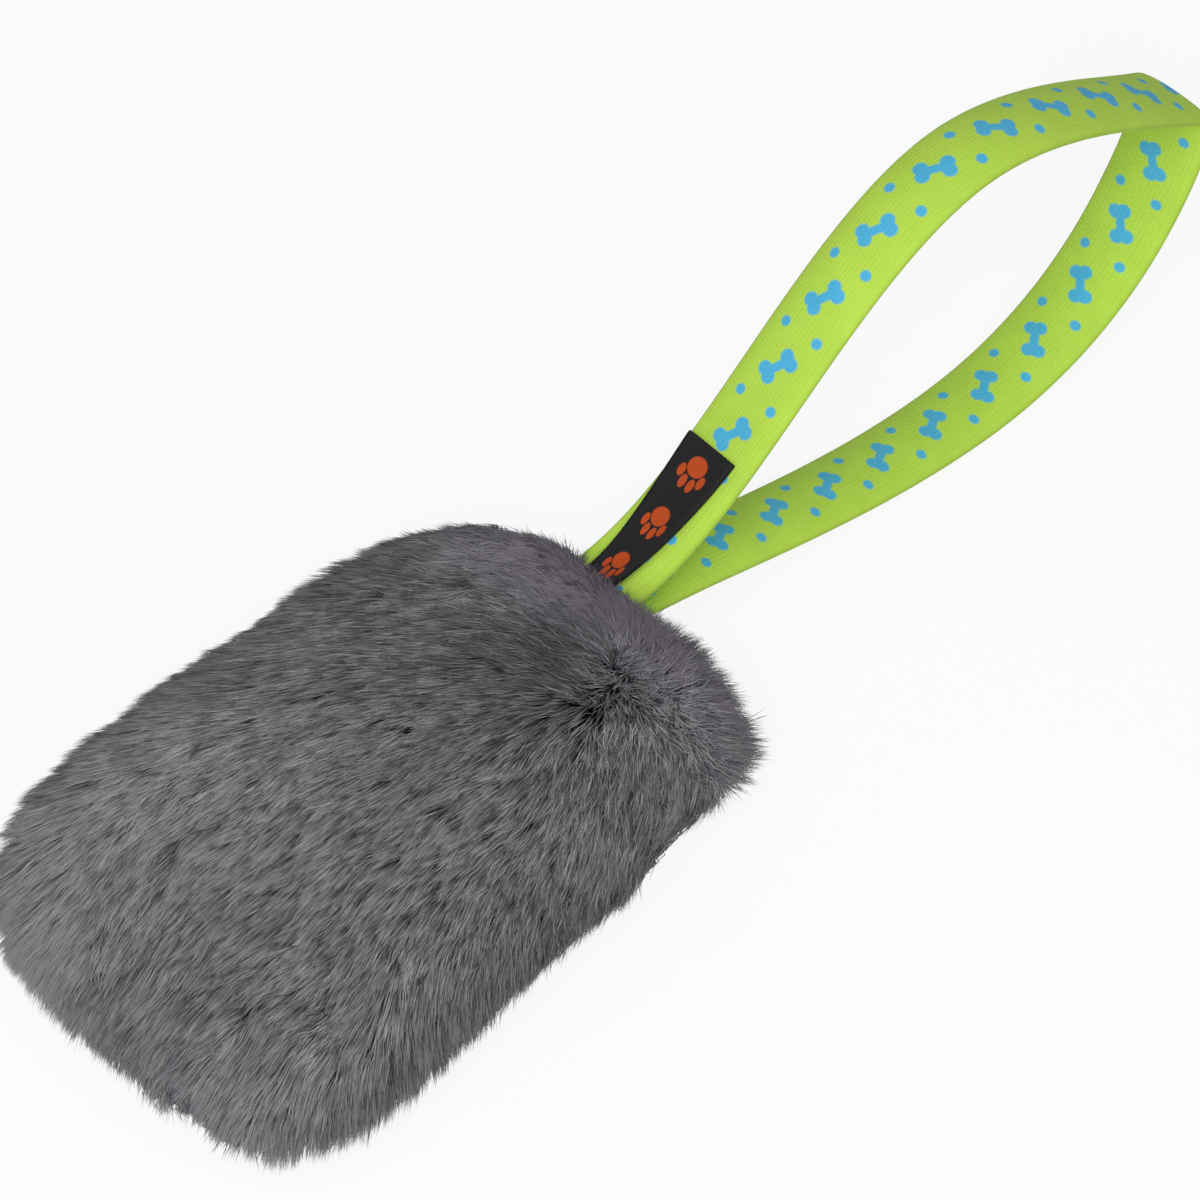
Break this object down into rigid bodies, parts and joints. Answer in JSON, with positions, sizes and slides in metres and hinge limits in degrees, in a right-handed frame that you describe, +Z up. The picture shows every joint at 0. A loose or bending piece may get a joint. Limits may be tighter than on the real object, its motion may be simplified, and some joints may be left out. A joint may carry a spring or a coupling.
{
  "type": "squeaky dog toy",
  "caption": "Stuffed faux-fur pouch with a reed squeaker inside and a folded webbing hand loop with a woven label sewn into its mouth seam, for tugging and squeezing.",
  "frame": {"origin": "middle of the flat patch under the stuffed pouch, where it rests", "axes": "+X along the pouch towards the hand loop, +Y across the pouch, +Z up"},
  "size_m": [0.3548, 0.1095, 0.1002],
  "materials": {
    "faux_fur": "long soft grey pile on a knitted backing",
    "webbing": "lime green tubular webbing with a blue print",
    "label_ribbon": "black satin-woven ribbon",
    "sewing_thread": "dark polyester thread",
    "fibre_filling": "white polyester fibre",
    "bulb_plastic": "soft blow-moulded polyethylene",
    "insert_plastic": "moulded polystyrene",
    "reed_film": "thin polyester film"
  },
  "bodies": {
    "pouch": {"fur_bottom_panel": "faux_fur", "filling_bottom_wad": "fibre_filling", "side_seam_thread": "sewing_thread", "closing_seam_thread": "sewing_thread", "strap_tail_upper": "webbing", "strap_tail_lower": "webbing", "bar_tack_thread": "sewing_thread", "squeaker_bulb": "bulb_plastic", "squeaker_reed_holder": "insert_plastic", "squeaker_reed_wedge": "insert_plastic"},
    "pouch_top": {"fur_top_panel": "faux_fur", "filling_top_wad": "fibre_filling"},
    "hand_loop": {"handle_strap": "webbing"},
    "label": {"woven_label": "label_ribbon"},
    "reed": {"squeaker_reed": "reed_film"}
  },
  "joints": [
    {"name": "handle_swing", "type": "hinge", "parent": "pouch", "child": "hand_loop", "pos_m": [0.0772, 0.012, 0.031], "axis": [-0.0471, -0.9989, 0], "range_deg": [-20, 45]},
    {"name": "label_lift", "type": "hinge", "parent": "hand_loop", "child": "label", "pos_m": [0.0832, 0.0117, 0.0348], "axis": [-0.0471, -0.9989, 0], "range_deg": [0, 40]},
    {"name": "squeeze", "type": "slide", "parent": "pouch", "child": "pouch_top", "axis": [0, 0, -1], "range_m": [0, 0.016], "stiffness_N_per_m": 600, "springref_m": -0.002, "deforming": ["fur_top_panel", "filling_top_wad", "squeaker_bulb"]},
    {"name": "reed_flutter", "type": "hinge", "parent": "pouch", "child": "reed", "pos_m": [-0.0297, 0, 0.031], "axis": [0, -1, 0], "range_deg": [0, 5], "stiffness_Nm_per_rad": 0.002, "springref_deg": -1.15}
  ]
}
